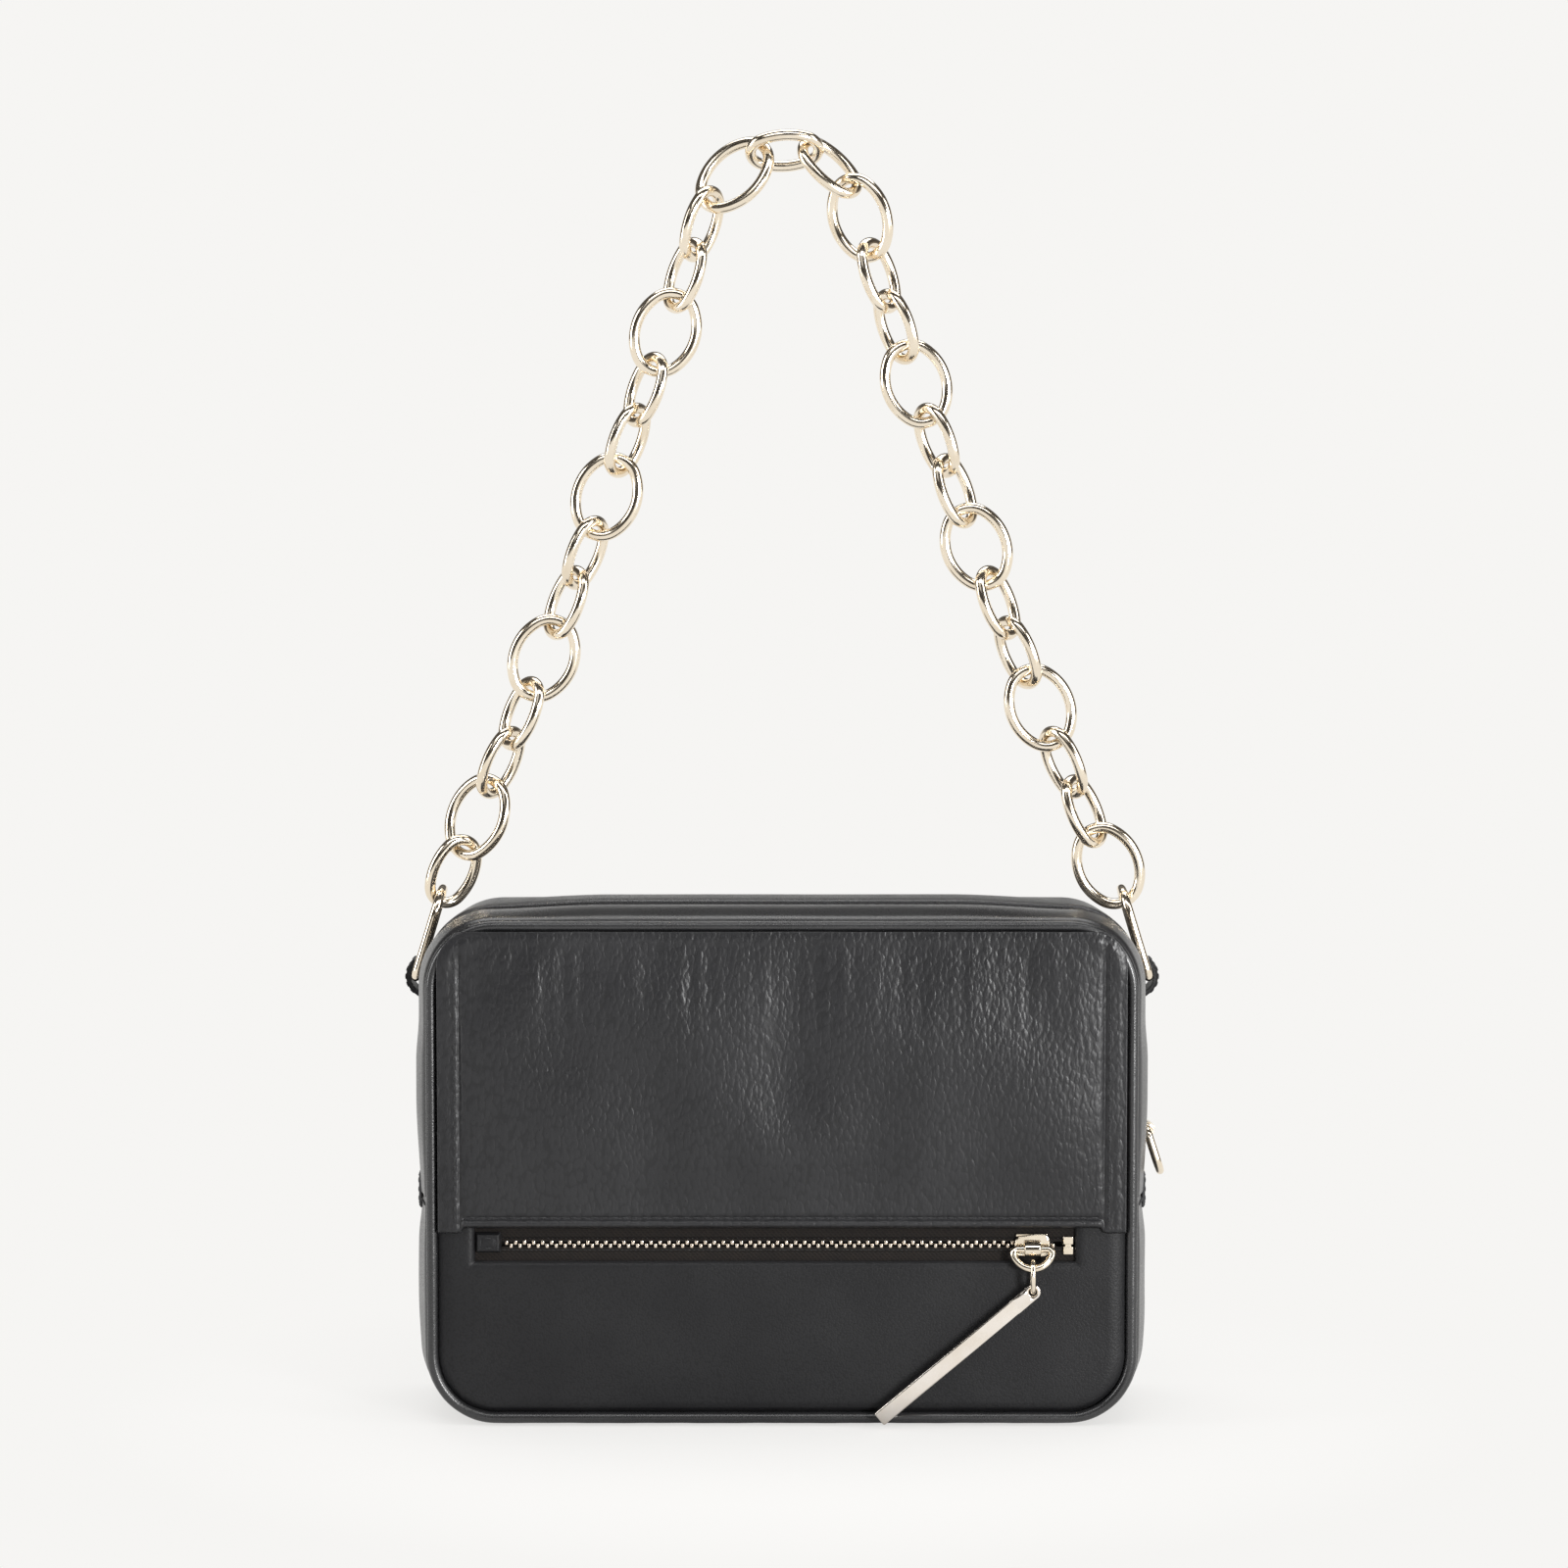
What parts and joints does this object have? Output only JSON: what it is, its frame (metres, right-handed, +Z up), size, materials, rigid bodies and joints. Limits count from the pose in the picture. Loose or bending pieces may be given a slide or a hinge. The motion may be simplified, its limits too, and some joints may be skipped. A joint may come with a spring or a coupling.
{
  "type": "chain shoulder bag",
  "caption": "Small boxy leather shoulder bag with a zip-round top, a flap over a zipped front pocket with a bar pull, and a fixed chain strap on side rings.",
  "frame": {"origin": "centre of the bag's base, at the height of the piping it stands on", "axes": "+X to the viewer's right along the bag's width, -Y out of the front with the pocket zip, +Z up"},
  "size_m": [0.2397, 0.0725, 0.4009],
  "materials": {
    "smooth_leather": "smooth, satin",
    "pebbled_leather": "pebbled grain, soft sheen",
    "lining_cloth": "fine twill",
    "zip_tape": "woven tape",
    "zip_brass": "polished zip teeth",
    "pale_gold": "pale gold plate, polished",
    "fibre_board": "pressed fibre board"
  },
  "bodies": {
    "bag": {"front_piping": "smooth_leather", "back_piping": "smooth_leather", "front_panel": "smooth_leather", "back_panel": "smooth_leather", "flap": "pebbled_leather", "zip_gusset_front": "smooth_leather", "zip_gusset_back": "smooth_leather", "bottom_gusset": "smooth_leather", "main_lining": "lining_cloth", "base_board": "fibre_board", "pocket_lining": "lining_cloth", "main_zip_tape": "zip_tape", "pocket_zip_tape": "zip_tape", "main_zip_teeth": "zip_brass", "pocket_zip_teeth": "zip_brass", "main_zip_end_tab_left": "smooth_leather", "main_zip_end_tab_right": "smooth_leather", "pocket_zip_end_tab": "smooth_leather", "side_loop_left": "smooth_leather", "side_loop_right": "smooth_leather", "pocket_zip_stop": "pale_gold"},
    "main_slider": {"main_zip_slider": "pale_gold"},
    "main_pull": {"main_zip_pull": "pale_gold"},
    "pocket_slider": {"pocket_zip_slider": "pale_gold"},
    "pull_ring": {"pocket_pull_ring": "pale_gold"},
    "pull_link": {"pocket_pull_link": "pale_gold"},
    "pull_bar": {"pocket_pull_bar": "pale_gold"},
    "ring_left": {"d_ring_left": "pale_gold"},
    "ring_right": {"d_ring_right": "pale_gold"},
    "strap_01": {"link_left_01": "pale_gold", "link_right_01": "pale_gold"},
    "strap_02": {"link_left_02": "pale_gold", "link_right_02": "pale_gold"},
    "strap_03": {"link_left_03": "pale_gold", "link_right_03": "pale_gold"},
    "strap_04": {"link_left_04": "pale_gold", "link_right_04": "pale_gold"},
    "strap_05": {"link_left_05": "pale_gold", "link_right_05": "pale_gold"},
    "strap_06": {"link_left_06": "pale_gold", "link_right_06": "pale_gold"},
    "strap_07": {"link_left_07": "pale_gold", "link_right_07": "pale_gold"},
    "strap_08": {"link_left_08": "pale_gold", "link_right_08": "pale_gold"},
    "strap_09": {"link_left_09": "pale_gold", "link_right_09": "pale_gold"},
    "strap_10": {"link_left_10": "pale_gold", "link_right_10": "pale_gold"},
    "strap_11": {"link_left_11": "pale_gold", "link_right_11": "pale_gold"},
    "strap_12": {"link_left_12": "pale_gold", "link_right_12": "pale_gold"},
    "strap_13": {"link_left_13": "pale_gold", "link_right_13": "pale_gold"},
    "strap_14": {"link_left_14": "pale_gold", "link_right_14": "pale_gold"},
    "strap_15": {"link_top": "pale_gold"}
  },
  "joints": [
    {"name": "main_slider_run", "type": "slide", "parent": "bag", "child": "main_slider", "axis": [0, 0, 1], "range_m": [0, 0.04]},
    {"name": "main_pull_swing", "type": "hinge", "parent": "main_slider", "child": "main_pull", "pos_m": [0.1148, 0, 0.088], "axis": [0, -1, 0], "range_deg": [-14, 101]},
    {"name": "pocket_slider_run", "type": "slide", "parent": "bag", "child": "pocket_slider", "axis": [-1, 0, 0], "range_m": [0, 0.15]},
    {"name": "pull_ring_swing", "type": "hinge", "parent": "pocket_slider", "child": "pull_ring", "pos_m": [0.0775, -0.0336, 0.0556], "axis": [-1, 0, 0], "range_deg": [-0.5, 60]},
    {"name": "pull_link_swing", "type": "hinge", "parent": "pull_ring", "child": "pull_link", "pos_m": [0.0775, -0.03622, 0.04998], "axis": [-1, 0, 0], "range_deg": [-0.5, 40]},
    {"name": "pull_bar_swing", "type": "hinge", "parent": "pull_link", "child": "pull_bar", "pos_m": [0.0775, -0.03622, 0.04273], "axis": [0, -1, 0], "range_deg": [-35, 130]},
    {"name": "ring_left_swing", "type": "hinge", "parent": "bag", "child": "ring_left", "pos_m": [-0.1159, 0.016, 0.1348], "axis": [0, 1, 0], "range_deg": [-0.5, 2]},
    {"name": "ring_right_swing", "type": "hinge", "parent": "bag", "child": "ring_right", "pos_m": [0.1159, 0.016, 0.1348], "axis": [0, 1, 0], "range_deg": [-2, 2.5]},
    {"name": "strap_fold_01", "type": "hinge", "parent": "bag", "child": "strap_01", "pos_m": [-0.10847, 0.016, 0.15797], "axis": [1, 0, 0], "range_deg": [-46, 32]},
    {"name": "strap_fold_02", "type": "hinge", "parent": "strap_01", "child": "strap_02", "pos_m": [-0.10064, 0.016, 0.1754], "axis": [-0.9996, 0, -0.0285], "range_deg": [-8, 46]},
    {"name": "strap_fold_03", "type": "hinge", "parent": "strap_02", "child": "strap_03", "pos_m": [-0.09138, 0.016, 0.19656], "axis": [0.9999, 0, -0.0111], "range_deg": [-34, 22]},
    {"name": "strap_fold_04", "type": "hinge", "parent": "strap_03", "child": "strap_04", "pos_m": [-0.08561, 0.016, 0.21008], "axis": [-0.9999, 0, 0.0119], "range_deg": [-12, 22]},
    {"name": "strap_fold_05", "type": "hinge", "parent": "strap_04", "child": "strap_05", "pos_m": [-0.07994, 0.016, 0.22364], "axis": [0.9988, 0, 0.0494], "range_deg": [-10, 46]},
    {"name": "strap_fold_06", "type": "hinge", "parent": "strap_05", "child": "strap_06", "pos_m": [-0.0704, 0.016, 0.24707], "axis": [-0.9999, 0, 0.0146], "range_deg": [-12, 22]},
    {"name": "strap_fold_07", "type": "hinge", "parent": "strap_06", "child": "strap_07", "pos_m": [-0.06499, 0.016, 0.26074], "axis": [0.9999, 0, -0.0159], "range_deg": [-12, 22]},
    {"name": "strap_fold_08", "type": "hinge", "parent": "strap_07", "child": "strap_08", "pos_m": [-0.05967, 0.016, 0.27445], "axis": [-0.9977, 0, -0.067], "range_deg": [-10, 46]},
    {"name": "strap_fold_09", "type": "hinge", "parent": "strap_08", "child": "strap_09", "pos_m": [-0.05075, 0.016, 0.29812], "axis": [0.9998, 0, -0.0206], "range_deg": [-12, 22]},
    {"name": "strap_fold_10", "type": "hinge", "parent": "strap_09", "child": "strap_10", "pos_m": [-0.0457, 0.016, 0.31193], "axis": [-0.9997, 0, 0.0229], "range_deg": [-12, 22]},
    {"name": "strap_fold_11", "type": "hinge", "parent": "strap_10", "child": "strap_11", "pos_m": [-0.04074, 0.016, 0.32577], "axis": [0.995, 0, 0.0997], "range_deg": [-10, 46]},
    {"name": "strap_fold_12", "type": "hinge", "parent": "strap_11", "child": "strap_12", "pos_m": [-0.03244, 0.016, 0.34967], "axis": [-0.998, 0, 0.0635], "range_deg": [-14, 18]},
    {"name": "strap_fold_13", "type": "hinge", "parent": "strap_12", "child": "strap_13", "pos_m": [-0.02775, 0.016, 0.3636], "axis": [1, 0, -0.0009], "range_deg": [-36, 22]},
    {"name": "strap_fold_14", "type": "hinge", "parent": "strap_13", "child": "strap_14", "pos_m": [-0.02296, 0.016, 0.37995], "axis": [-0.9919, 0, -0.1267], "range_deg": [-26, 12]},
    {"name": "strap_fold_15", "type": "hinge", "parent": "strap_14", "child": "strap_15", "pos_m": [-0.00556, 0.016, 0.39537], "axis": [0.9999, 0, -0.0173], "range_deg": [-16, 6]}
  ]
}
